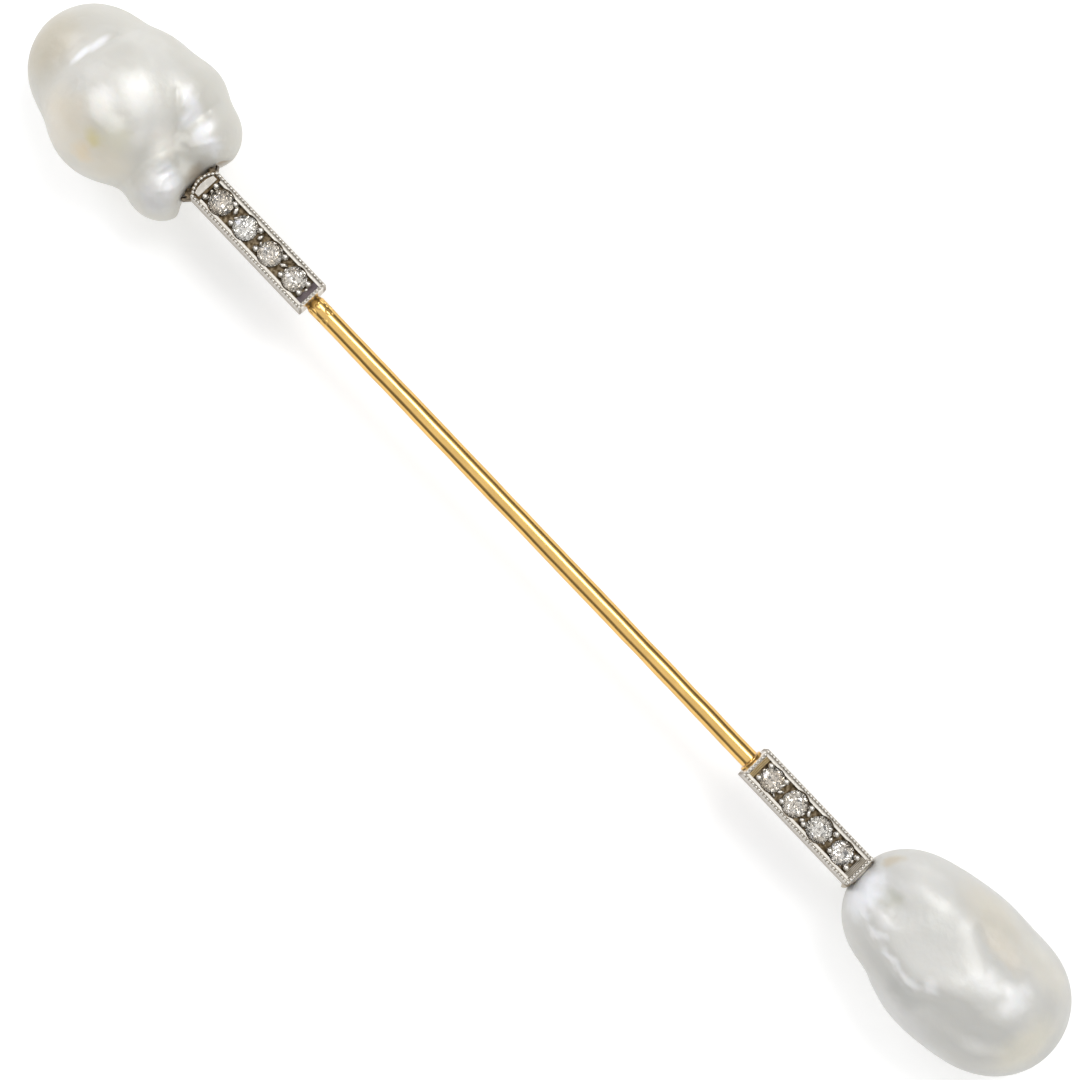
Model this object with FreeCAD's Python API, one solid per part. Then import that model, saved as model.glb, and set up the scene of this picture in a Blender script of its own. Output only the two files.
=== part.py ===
"""Jabot pin: a gold pin stem between two stone-set bars, each ending in a baroque pearl.

The stem is soldered to bar A. Bar B, its pearl and its gold tube are the terminal that
pulls off the pin's point, along the stem. All sizes are millimetres. Shapes are first laid
out in the stem's frame (X along the stem, Z up, zero on the stem's axis at mid-length),
and are moved at the end so that the pin lies on Z = 0 with its middle over the origin.
"""
import FreeCAD
import Part
import math
import os
from collections import namedtuple

Vector = FreeCAD.Vector
X_AXIS = Vector(1, 0, 0)
Y_AXIS = Vector(0, 1, 0)
Z_AXIS = Vector(0, 0, 1)

# Pin stem
STEM_RADIUS = 0.55
STEM_START = -18.27
STEM_END = 16.85
NECK_RADIUS = 0.50
NECK_LENGTH = 0.25
TIP_RADIUS = 0.36
TIP_LENGTH = 6.1
POINT_LENGTH = 1.4
END_BLUNT_RADIUS = 0.05
SOLDER_GAP = 0.01

# Bars, as boxes with rounded backs
BAR_WIDTH = 2.05
BAR_TOP = 1.50
BAR_BOTTOM = -0.66
BAR_BACK_BEVEL = 0.42
BAR_A_START = -26.93
BAR_A_END = -18.28
BAR_B_START = 17.00
BAR_B_END = 25.38
NOSE_LENGTH = 0.40
NOSE_CHAMFER = 0.22
NOSE_SHOULDER = 0.27

# Rim, ledge and pocket on a bar's face
RIM_WIDTH = 0.20
LEDGE_DEPTH = 0.08
POCKET_HALF_WIDTH = 0.68
POCKET_DEPTH = 0.45
POCKET_SLOPE = 0.34

# Stones: an old brilliant cut, as shares of the girdle radius
GIRDLE_TOP = 1.27
TABLE_SHARE = 0.50
GIRDLE_SHARE = 0.04
CROWN_ANGLE = 35.0
UPPER_GIRDLE_ANGLE = 41.0
STAR_ANGLE = 21.0
PAVILION_ANGLE = 41.0
LOWER_GIRDLE_ANGLE = 43.0
CULET_DEPTH_SHARE = 0.78
MAIN_FACETS = 8
CUTTER_SIZE = 6.0
STONE_GAP = 0.02
SEAT_GAP = 0.07

# Bead prongs
BEAD_RADIUS = 0.20
BEAD_STALK_RADIUS = 0.14
BEAD_HEIGHT = 1.37
BEAD_ROOT = 0.05

# Terminal tube that the point slides into
TUBE_HALF_WIDTH = 0.55
TUBE_BORE = 0.385
TUBE_LENGTH = 8.00
TUBE_FLOOR = 0.25
TUBE_FIT = 0.02
COLLAR_RADIUS = 0.68
COLLAR_BULGE = 0.04
COLLAR_LENGTH = 0.13

# Pearl posts, and the cups that the pearls sit against
POST_RADIUS = 0.38
POST_LENGTH = 4.0
DRILL_RADIUS = 0.41
DRILL_CLEARANCE = 0.15
CUP_WALL = 0.13
CUP_ROOT_RADIUS = 0.85
CUP_DEPTH_A = 0.50
CUP_RIM_RADIUS_A = 1.44
CUP_DEPTH_B = 0.22
CUP_RIM_RADIUS_B = 1.22
CLAW_COUNT = 9
CLAW_NOTCH_DEPTH = 0.30

POST_ROOT = 0.30

# How far a cutting shape passes the metal that it cuts
CUT_MARGIN = 1.0

# How the pearls are meshed and blended
RINGS = 34
SEGMENTS = 42
RING_CROWDING = 1.35
BLEND = 0.30
SEAT_BLEND = 0.05
SEAT_STEEPNESS = 5.0
PEARL_BASE = -4.15

Stone = namedtuple("Stone", "name x radius")
STONES_A = [
    Stone("diamond_a1", -25.56, 0.72),
    Stone("diamond_a2", -23.63, 0.70),
    Stone("diamond_a3", -21.65, 0.70),
    Stone("diamond_a4", -19.74, 0.70),
]
STONES_B = [
    Stone("diamond_b1", 18.38, 0.68),
    Stone("diamond_b2", 20.21, 0.74),
    Stone("diamond_b3", 22.15, 0.74),
    Stone("diamond_b4", 23.91, 0.68),
]

Bead = namedtuple("Bead", "x y")
BEADS_A = [
    Bead(-26.38, 0.42),
    Bead(-26.38, -0.42),
    Bead(-24.92, 0.50),
    Bead(-24.34, -0.38),
    Bead(-22.92, 0.52),
    Bead(-22.38, -0.38),
    Bead(-20.93, 0.48),
    Bead(-20.40, -0.38),
    Bead(-18.98, 0.36),
    Bead(-19.00, -0.34),
]
BEADS_B = [
    Bead(17.78, 0.50),
    Bead(17.76, -0.44),
    Bead(19.00, 0.50),
    Bead(19.58, -0.44),
    Bead(21.00, 0.50),
    Bead(21.30, -0.44),
    Bead(22.98, 0.50),
    Bead(23.36, -0.40),
    Bead(24.70, 0.42),
    Bead(24.66, -0.40),
]

# A pearl is a soft union of ellipsoid lobes. turn is about Z, in degrees.
Lobe = namedtuple("Lobe", "name x y z rx ry rz turn")
LOBES_A = [
    Lobe("cap", -35.98, 0.20, -0.70, 3.82, 3.80, 3.30, 0),
    Lobe("body", -33.35, 0.03, 0.00, 4.15, 4.68, 4.25, 0),
    Lobe("shoulder", -31.20, 2.42, -0.10, 2.50, 2.62, 3.30, 0),
    Lobe("knuckle", -29.05, 1.95, 0.10, 2.02, 2.25, 2.50, 0),
    Lobe("ball", -28.74, -1.85, 0.00, 1.94, 1.78, 2.00, 0),
    Lobe("waist", -30.50, -0.90, -0.20, 2.30, 2.42, 3.10, 0),
    Lobe("saddle", -28.70, 0.15, -0.10, 1.60, 1.45, 1.60, 0),
]
LOBES_B = [
    Lobe("nose", 29.20, 0.40, -0.10, 3.72, 3.68, 3.60, 0),
    Lobe("middle", 32.90, 0.38, 0.00, 5.25, 4.58, 4.15, 0),
    Lobe("far_half", 35.20, 0.45, 0.00, 4.85, 4.30, 4.05, 0),
    Lobe("far_corner", 36.10, 1.30, 0.00, 3.60, 3.50, 3.40, 0),
    Lobe("near_flank", 30.60, 1.55, -0.10, 3.20, 2.90, 3.10, 0),
]

# A fold is a raised ridge or a sunk valley that follows a line over a pearl's upper side.
# It runs from x0, y0 to x1, y1, bows sideways by bow, and rises by height over its width.
Fold = namedtuple("Fold", "name x0 y0 x1 y1 bow width height")
FOLDS_A = [
    Fold("cap_crease", -36.00, 3.60, -37.20, -1.00, 0.35, 0.45, -0.22),
    Fold("knuckle_cleft", -29.90, 4.40, -29.60, 0.80, 0.15, 0.40, -0.20),
    Fold("ball_cleft", -30.20, -3.40, -29.90, -0.60, -0.15, 0.40, -0.22),
]
FOLDS_B = [
    Fold("lower_ridge", 26.80, -1.10, 33.60, -0.90, -0.80, 0.70, 0.28),
    Fold("lower_valley", 28.00, -2.20, 37.50, -1.40, -1.00, 0.90, -0.26),
    Fold("upper_valley", 32.20, 2.90, 36.00, 3.00, -0.60, 0.65, -0.26),
    Fold("nose_dent", 27.00, 0.40, 28.20, 0.20, 0.00, 0.90, -0.24),
]

# side is the way the pearl looks at its bar: +1 towards +X, -1 towards -X.
Pearl = namedtuple("Pearl", "centre_x side lobes folds seat_x seat_radius drill_end")
PEARL_A = Pearl(-32.40, 1, LOBES_A, FOLDS_A, -27.46, 1.74, BAR_A_START - POST_LENGTH)
PEARL_B = Pearl(32.60, -1, LOBES_B, FOLDS_B, 25.64, 1.25, BAR_B_END + POST_LENGTH)


def cylinder(radius, start, end):
    """A cylinder on the stem's axis, from x = start to x = end."""
    low, high = min(start, end), max(start, end)
    return Part.makeCylinder(radius, high - low, Vector(low, 0, 0), X_AXIS)


def turned(profile, centre, axis):
    """A closed solid of revolution from a list of points, joined in order."""
    wire = Part.makePolygon(profile + [profile[0]])
    return Part.Face(wire).revolve(centre, axis, 360)


def pin_stem():
    """The gold stem: a tapered solder neck, the full shaft, and a slim pointed end for the tube."""
    start = STEM_START + SOLDER_GAP
    point_start = STEM_END + TIP_LENGTH
    outline = [
        (start, 0),
        (start, NECK_RADIUS),
        (start + NECK_LENGTH, STEM_RADIUS),
        (STEM_END - TUBE_FIT, STEM_RADIUS),
        (STEM_END - TUBE_FIT, TIP_RADIUS),
        (point_start, TIP_RADIUS),
        (point_start + POINT_LENGTH, END_BLUNT_RADIUS),
        (point_start + POINT_LENGTH, 0),
    ]
    return turned([Vector(x, r, 0) for x, r in outline], Vector(), X_AXIS)


def square_rod(half_width, start, end):
    """A square rod on the stem's axis, from x = start to x = end."""
    return Part.makeBox(end - start, 2 * half_width, 2 * half_width, Vector(start, -half_width, -half_width))


def tube():
    """The gold tube in bar B: square outside, round inside, with a rounded collar at its mouth."""
    mouth = BAR_B_START - COLLAR_LENGTH
    collar_end = BAR_B_START - SOLDER_GAP
    rim_low, rim_high = Vector(mouth, COLLAR_RADIUS, 0), Vector(collar_end, COLLAR_RADIUS, 0)
    crest = Vector((mouth + collar_end) / 2, COLLAR_RADIUS + COLLAR_BULGE, 0)
    edges = Part.makePolygon([rim_high, Vector(collar_end, 0, 0), Vector(mouth, 0, 0), rim_low]).Edges
    outline = Part.Wire(edges + [Part.Arc(rim_low, crest, rim_high).toShape()])
    collar = Part.Face(outline).revolve(Vector(), X_AXIS, 360)
    barrel = square_rod(TUBE_HALF_WIDTH, mouth, mouth + TUBE_LENGTH)
    bore = cylinder(TUBE_BORE, mouth - CUT_MARGIN, mouth + TUBE_LENGTH - TUBE_FLOOR)
    return collar.fuse(barrel).cut(bore)


def half_space(azimuth, angle, reach, height, upwards):
    """A block that cuts one facet: its near face passes height at radius reach."""
    size = CUTTER_SIZE
    sign = 1 if upwards else -1
    block = Part.makeBox(size, size, size, Vector(-size / 2, -size / 2, 0))
    block.rotate(Vector(), Y_AXIS, angle)
    if not upwards:
        block = block.mirror(Vector(), Z_AXIS)
    block.translate(Vector(reach, 0, sign * height))
    block.rotate(Vector(), Z_AXIS, azimuth)
    return block


def unit_stone():
    """An old-cut brilliant of girdle radius 1, with its girdle's top edge at z = 0."""
    half_step = 180.0 / MAIN_FACETS
    quarter_step = half_step / 2
    girdle_reach = math.cos(math.radians(quarter_step))
    crown = (1 - TABLE_SHARE) * math.tan(math.radians(CROWN_ANGLE))
    pavilion = GIRDLE_SHARE + CULET_DEPTH_SHARE
    stone = Part.makeCylinder(1, crown + pavilion, Vector(0, 0, -pavilion))
    star_reach = TABLE_SHARE * math.cos(math.radians(half_step))
    for main in range(MAIN_FACETS):
        azimuth = 2 * half_step * main
        cutters = [
            (azimuth, CROWN_ANGLE, 1, 0, True),
            (azimuth + half_step, STAR_ANGLE, star_reach, crown, True),
            (azimuth, PAVILION_ANGLE, 1, GIRDLE_SHARE, False),
        ]
        for side in (-1, 1):
            turn = azimuth + side * quarter_step
            cutters.append((turn, UPPER_GIRDLE_ANGLE, girdle_reach, 0, True))
            cutters.append((turn, LOWER_GIRDLE_ANGLE, girdle_reach, GIRDLE_SHARE, False))
        for turn, angle, reach, height, upwards in cutters:
            stone = stone.cut(half_space(turn, angle, reach, height, upwards))
    return stone


def set_stone(template, stone):
    """The template stone at its own size, with its girdle in the seat."""
    shape = template.copy()
    shape.scale(stone.radius)
    shape.translate(Vector(stone.x, 0, GIRDLE_TOP))
    return shape


def stone_envelope(stone):
    """The turned space that a stone takes up, with a little room around it."""
    radius = stone.radius
    crown = radius * (1 - TABLE_SHARE) * math.tan(math.radians(CROWN_ANGLE))
    girdle_bottom = GIRDLE_TOP - radius * GIRDLE_SHARE
    culet = girdle_bottom - radius * CULET_DEPTH_SHARE
    culet_radius = radius * (1 - CULET_DEPTH_SHARE / math.tan(math.radians(PAVILION_ANGLE)))
    table = GIRDLE_TOP + crown
    profile = [
        (0, culet - STONE_GAP),
        (culet_radius + STONE_GAP, culet - STONE_GAP),
        (radius + STONE_GAP, girdle_bottom - STONE_GAP),
        (radius + STONE_GAP, GIRDLE_TOP + STONE_GAP),
        (radius * TABLE_SHARE + STONE_GAP, table + STONE_GAP),
        (0, table + STONE_GAP),
    ]
    points = [Vector(stone.x + r, 0, z) for r, z in profile]
    return turned(points, Vector(stone.x, 0, 0), Z_AXIS)


def bar_outline(start, end, has_nose, inset):
    """A bar's plan at z = 0, moved in by inset. A nose has cut corners and a bowed front."""
    half = BAR_WIDTH / 2 - inset
    near, far = start + inset, end - inset
    points = [Vector(near, -half, 0), Vector(far, -half, 0), Vector(far, half, 0), Vector(near, half, 0)]
    if not has_nose:
        return Part.Face(Part.makePolygon(points + [points[0]]))
    shoulder = half - NOSE_SHOULDER
    front = near - NOSE_CHAMFER
    points = [Vector(front, -shoulder, 0)] + points + [Vector(front, shoulder, 0)]
    bow = Part.Arc(points[-1], Vector(near - NOSE_LENGTH, 0, 0), points[0]).toShape()
    return Part.Face(Part.Wire(Part.makePolygon(points).Edges + [bow]))


def back_bevel(start, end, side):
    """The wedge that slopes one long edge of a bar's back."""
    inner = side * (BAR_WIDTH / 2 - BAR_BACK_BEVEL)
    outer = side * (BAR_WIDTH / 2 + CUT_MARGIN)
    profile = [
        Vector(start - CUT_MARGIN, inner, BAR_BOTTOM),
        Vector(start - CUT_MARGIN, inner, BAR_BOTTOM - CUT_MARGIN),
        Vector(start - CUT_MARGIN, outer, BAR_BOTTOM - CUT_MARGIN),
        Vector(start - CUT_MARGIN, outer, BAR_BOTTOM + BAR_BACK_BEVEL + CUT_MARGIN),
    ]
    face = Part.Face(Part.makePolygon(profile + [profile[0]]))
    return face.extrude(Vector(end - start + 2 * CUT_MARGIN, 0, 0))


def raised(face, low, high):
    """The plan face as a solid between two heights."""
    solid = face.extrude(Vector(0, 0, high - low))
    solid.translate(Vector(0, 0, low))
    return solid


def pocket(start, end):
    """The sunk field between the stones, with sloping end walls."""
    top = BAR_TOP + CUT_MARGIN
    ledge = BAR_TOP - LEDGE_DEPTH
    floor = BAR_TOP - POCKET_DEPTH
    profile = [
        Vector(start, -POCKET_HALF_WIDTH, top),
        Vector(start, -POCKET_HALF_WIDTH, ledge),
        Vector(start + POCKET_SLOPE, -POCKET_HALF_WIDTH, floor),
        Vector(end - POCKET_SLOPE, -POCKET_HALF_WIDTH, floor),
        Vector(end, -POCKET_HALF_WIDTH, ledge),
        Vector(end, -POCKET_HALF_WIDTH, top),
    ]
    face = Part.Face(Part.makePolygon(profile + [profile[0]]))
    return face.extrude(Vector(0, 2 * POCKET_HALF_WIDTH, 0))


def bead(place):
    """One prong: a ball on a short stalk that stands on the pocket's floor."""
    foot = Vector(place.x, place.y, BAR_TOP - POCKET_DEPTH - BEAD_ROOT)
    stalk = Part.makeCylinder(BEAD_STALK_RADIUS, BEAD_HEIGHT - foot.z, foot)
    return stalk.fuse(Part.makeSphere(BEAD_RADIUS, Vector(place.x, place.y, BEAD_HEIGHT)))


def bar(start, end, has_nose, stones, beads):
    """A bar with its rim, ledge, pocket, stone seats and bead prongs."""
    body = raised(bar_outline(start, end, has_nose, 0), BAR_BOTTOM, BAR_TOP)
    for side in (-1, 1):
        body = body.cut(back_bevel(start, end, side))
    ledge = BAR_TOP - LEDGE_DEPTH
    inside = bar_outline(start, end, has_nose, RIM_WIDTH)
    body = body.cut(raised(inside, ledge, BAR_TOP + CUT_MARGIN))
    body = body.cut(pocket(start + RIM_WIDTH, end - RIM_WIDTH))
    for stone in stones:
        foot = Vector(stone.x, 0, GIRDLE_TOP - stone.radius * GIRDLE_SHARE)
        body = body.cut(Part.makeCylinder(stone.radius + SEAT_GAP, CUT_MARGIN, foot))
    for place in beads:
        body = body.fuse(bead(place))
    for stone in stones:
        body = body.cut(stone_envelope(stone))
    return body


def claw_notch(rim_x, root_x, angle):
    """One V-shaped gap between two claws, cut in from a cup's rim."""
    width = math.pi * CUP_RIM_RADIUS_A / CLAW_COUNT
    inwards = math.copysign(1, root_x - rim_x)
    mouth = rim_x - inwards * CUP_WALL
    tip = rim_x + inwards * CLAW_NOTCH_DEPTH
    corners = [Vector(mouth, -width, CUP_ROOT_RADIUS), Vector(mouth, width, CUP_ROOT_RADIUS)]
    corners.append(Vector(tip, 0, CUP_ROOT_RADIUS))
    notch = Part.Face(Part.makePolygon(corners + [corners[0]])).extrude(Vector(0, 0, CUT_MARGIN))
    notch.rotate(Vector(), X_AXIS, angle)
    return notch


def pearl_cup(bar_end, side, depth, rim_radius):
    """The thin flared cup at a bar's end. side is the way it opens along X."""
    rim = bar_end + side * depth
    root = bar_end - side * CUP_WALL
    profile = [
        (root, 0),
        (root, CUP_ROOT_RADIUS),
        (rim - side * CUP_WALL, rim_radius),
        (rim, rim_radius - CUP_WALL / 2),
        (bar_end, CUP_ROOT_RADIUS - CUP_WALL),
        (bar_end, 0),
    ]
    return turned([Vector(x, r, 0) for x, r in profile], Vector(), X_AXIS)


def bar_a():
    """The fixed bar, with the clawed cup and the post that carry pearl A."""
    shape = bar(BAR_A_START, BAR_A_END, True, STONES_A, BEADS_A)
    cup = pearl_cup(BAR_A_START, -1, CUP_DEPTH_A, CUP_RIM_RADIUS_A)
    for claw in range(CLAW_COUNT):
        angle = 360 * (claw + 0.5) / CLAW_COUNT
        cup = cup.cut(claw_notch(BAR_A_START - CUP_DEPTH_A, BAR_A_START, angle))
    post = cylinder(POST_RADIUS, BAR_A_START - POST_LENGTH, BAR_A_START + POST_ROOT)
    return shape.fuse(cup).fuse(post)


def bar_b():
    """The terminal's bar, bored for the tube, with the cup and post that carry pearl B."""
    shape = bar(BAR_B_START, BAR_B_END, False, STONES_B, BEADS_B)
    bore_end = BAR_B_START - COLLAR_LENGTH + TUBE_LENGTH + TUBE_FIT
    shape = shape.cut(square_rod(TUBE_HALF_WIDTH + TUBE_FIT, BAR_B_START - CUT_MARGIN, bore_end))
    cup = pearl_cup(BAR_B_END, 1, CUP_DEPTH_B, CUP_RIM_RADIUS_B)
    post = cylinder(POST_RADIUS, BAR_B_END - POST_ROOT, BAR_B_END + POST_LENGTH)
    return shape.fuse(cup).fuse(post)


def lobe_exit(lobe, origin, way):
    """How far along a way from origin a lobe's surface lies, falling off smoothly past its edge."""
    turn = math.radians(lobe.turn)
    cos_t, sin_t = math.cos(turn), math.sin(turn)
    ox, oy, oz = origin.x - lobe.x, origin.y - lobe.y, origin.z - lobe.z
    start = ((ox * cos_t + oy * sin_t) / lobe.rx, (oy * cos_t - ox * sin_t) / lobe.ry, oz / lobe.rz)
    step = (
        (way.x * cos_t + way.y * sin_t) / lobe.rx,
        (way.y * cos_t - way.x * sin_t) / lobe.ry,
        way.z / lobe.rz,
    )
    a = sum(s * s for s in step)
    b = sum(p * s for p, s in zip(start, step))
    c = sum(p * p for p in start) - 1
    inside = b * b - a * c
    root = math.sqrt(abs(inside))
    return (-b + root) / a if inside >= 0 else (-b - 2 * root) / a


def soft_most(values, blend):
    """A smooth maximum: it rounds the crease where two values meet."""
    top = max(values)
    return top + blend * math.log(sum(math.exp((v - top) / blend) for v in values))


def fold_height(fold, x, y):
    """How much a fold lifts the surface above the point x, y."""
    run = Vector(fold.x1 - fold.x0, fold.y1 - fold.y0, 0)
    length = run.Length
    along = ((x - fold.x0) * run.x + (y - fold.y0) * run.y) / length ** 2
    across = ((y - fold.y0) * run.x - (x - fold.x0) * run.y) / length
    past_end = max(0, -along, along - 1) * length
    middle = max(0, min(1, along))
    off = across - fold.bow * 4 * middle * (1 - middle)
    return fold.height * math.exp(-(off ** 2 + past_end ** 2) / fold.width ** 2)


def pearl_point(pearl, way):
    """The point of a pearl's skin that lies along a way from its middle."""
    origin = Vector(pearl.centre_x, 0, 0)
    reach = soft_most([lobe_exit(lobe, origin, way) for lobe in pearl.lobes], BLEND)
    if way.z > 0:
        x, y = origin.x + way.x * reach, way.y * reach
        rise = sum(fold_height(fold, x, y) for fold in pearl.folds)
        reach += rise * min(1, way.z / 0.5)
    point = origin + way * reach
    off_axis = math.hypot(point.y, point.z)
    limit = pearl.side * pearl.seat_x + SEAT_STEEPNESS * max(0, off_axis - pearl.seat_radius)
    along = pearl.side * point.x
    point.x = pearl.side * -soft_most([-along, -limit], SEAT_BLEND)
    point.z = max(point.z, PEARL_BASE)
    return point


def pearl_rings(pearl):
    """Rings of points from the drilled mouth, over the pearl, to the last ring at its far end."""
    rings = []
    first = math.asin(DRILL_RADIUS / abs(pearl.seat_x - pearl.centre_x))
    for ring in range(RINGS):
        share = (ring / RINGS) ** RING_CROWDING
        polar = first + (math.pi - first) * share
        row = []
        for segment in range(SEGMENTS):
            azimuth = 2 * math.pi * segment / SEGMENTS
            way = Vector(
                pearl.side * math.cos(polar),
                math.sin(polar) * math.cos(azimuth),
                math.sin(polar) * math.sin(azimuth),
            )
            point = pearl_point(pearl, way)
            if ring == 0:
                point.y = DRILL_RADIUS * math.cos(azimuth)
                point.z = DRILL_RADIUS * math.sin(azimuth)
            row.append(point)
        rings.append(row)
    drill_floor = pearl.drill_end - pearl.side * DRILL_CLEARANCE
    rings.insert(0, [Vector(drill_floor, p.y, p.z) for p in rings[0]])
    return rings, Vector(drill_floor, 0, 0), pearl_point(pearl, Vector(-pearl.side, 0, 0))


def pearl_solid(pearl):
    """The pearl as a closed solid of flat triangles, with its blind drilled hole."""
    rings, floor_centre, far_end = pearl_rings(pearl)
    points = [p for row in rings for p in row] + [floor_centre, far_end]
    floor_index, far_index = len(points) - 2, len(points) - 1
    last = (len(rings) - 1) * SEGMENTS
    triangles = []
    for segment in range(SEGMENTS):
        following = (segment + 1) % SEGMENTS
        triangles.append((floor_index, following, segment))
        triangles.append((far_index, last + segment, last + following))
        for row in range(len(rings) - 1):
            near, far = row * SEGMENTS, (row + 1) * SEGMENTS
            triangles.append((near + segment, near + following, far + following))
            triangles.append((near + segment, far + following, far + segment))
    shape = Part.Shape()
    shape.makeShapeFromMesh(([tuple(p) for p in points], triangles), 1e-4)
    solid = Part.Solid(shape.Shells[0])
    if solid.Volume < 0:
        solid.reverse()
    return solid


def build():
    """Every piece of the pin by name, in the stem's frame."""
    template = unit_stone()
    pieces = {
        "pin_stem": pin_stem(),
        "bar_a": bar_a(),
        "bar_b": bar_b(),
        "terminal_tube": tube(),
        "pearl_a": pearl_solid(PEARL_A),
        "pearl_b": pearl_solid(PEARL_B),
    }
    for stone in STONES_A + STONES_B:
        pieces[stone.name] = set_stone(template, stone)
    return pieces


def main():
    """Moves the pieces so that the pin lies over the origin, and writes one file for each."""
    pieces = build()
    box = Part.makeCompound(list(pieces.values())).BoundBox
    shift = Vector(-box.Center.x, -box.Center.y, -box.ZMin)
    print("shift", [round(v, 4) for v in shift])
    print("size", [round(v, 3) for v in (box.XLength, box.YLength, box.ZLength)])
    os.makedirs("parts", exist_ok=True)
    for name, shape in pieces.items():
        shape.translate(shift)
        shape.exportStep(os.path.join("parts", name + ".step"))
        print(name, len(shape.Solids), shape.isValid(), round(shape.Volume, 4), len(shape.Faces))


main()
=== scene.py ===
"""Dresses a jabot pin: two baroque pearls, two stone-set bars and a gold stem, on a pale floor."""
import math
import random
from collections import namedtuple
from functools import partial

import bpy
import numpy as np
from mathutils import Euler, Matrix, Vector


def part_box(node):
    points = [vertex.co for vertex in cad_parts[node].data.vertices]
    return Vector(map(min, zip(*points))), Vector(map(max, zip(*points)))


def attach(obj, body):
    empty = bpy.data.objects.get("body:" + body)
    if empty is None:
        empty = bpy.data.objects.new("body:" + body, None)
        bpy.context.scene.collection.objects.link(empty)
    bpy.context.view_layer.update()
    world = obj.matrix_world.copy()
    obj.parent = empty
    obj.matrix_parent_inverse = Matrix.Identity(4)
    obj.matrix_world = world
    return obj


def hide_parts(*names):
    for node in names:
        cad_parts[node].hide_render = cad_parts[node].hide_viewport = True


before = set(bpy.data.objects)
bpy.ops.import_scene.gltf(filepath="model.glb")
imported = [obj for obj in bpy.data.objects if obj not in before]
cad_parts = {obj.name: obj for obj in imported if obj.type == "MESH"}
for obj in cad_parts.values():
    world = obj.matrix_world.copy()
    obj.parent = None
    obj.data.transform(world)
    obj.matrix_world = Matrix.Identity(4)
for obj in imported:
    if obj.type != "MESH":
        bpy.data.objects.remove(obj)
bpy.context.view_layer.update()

bl_info = {
    "name": "Jabot pin",
    "version": (1, 0, 0),
    "blender": (4, 5, 0),
    "location": "View3D > Sidebar > Jabot pin",
    "description": "Dresses a jabot pin with pearls, milgrain bars, stones and a gold stem",
    "category": "Object",
}

MM = 0.001

# The stem's frame: X along the pin, Y across, Z up, zero on the stem's axis at the pin's middle.
STEM_LOW, STEM_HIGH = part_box("pin_stem")
STEM_FOOT = -18.26
PIN_ZERO = Vector((
    STEM_LOW[0] - STEM_FOOT * MM,
    (STEM_LOW[1] + STEM_HIGH[1]) / 2,
    (STEM_LOW[2] + STEM_HIGH[2]) / 2,
))

# Bars, in millimetres in the stem's frame, as the solids have them
Bar = namedtuple("Bar", "start end has_nose body")
BAR_A = Bar(-26.93, -18.28, True, "pin")
BAR_B = Bar(17.00, 25.38, False, "terminal")
BAR_HALF_WIDTH = 1.025
BAR_TOP = 1.50
RIM_WIDTH = 0.20
NOSE_LENGTH = 0.40
NOSE_CHAMFER = 0.22
NOSE_SHOULDER = 0.27
LEDGE_TOP = 1.42

# Where the brown film lies on a bar: below the ledge, between the rim's beads and behind the nose
FILM_EDGE = 0.02
FILM_DRIFT = 0.16
FILM_BELOW_LEDGE = (0.16, 0.03)
FILM_OFF_BEADS = (0.07, 0.13)
FILM_BETWEEN_BEADS = 0.75
FILM_BEHIND_NOSE = (-26.98, -26.92)
WALL_HEIGHTS = (0.7, 1.25)
GRIME_SCALE = 5.0

# Colours that no setting changes
WALL_TONE = "#A99B86"
SCRAPE_TONE = "#8F8069"
NOSE_SCRAPE_TONE = "#6E5F49"
STONE_HAZE = "#D8CAB6"

# Patterns of nacre and gold: a scale is in clouds, wrinkles or dents to a millimetre
CLOUD_SCALE = 0.8
CLOUD_DRIFT = 1.2
WARPED_WIDTH = 0.6
WRINKLE_SCALE = 2.2
WRINKLE_SHARE = 0.30
RIPPLE_SCALE = 0.7
NACRE_RELIEF = 0.07
DRAWN_LINES = (0.04, 4, 4)
LINE_SHARE = 0.35
DENT_SCALE = 0.9
GOLD_RELIEF = 0.03
SMOOTH = {"interpolation_type": "SMOOTHSTEP"}

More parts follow.
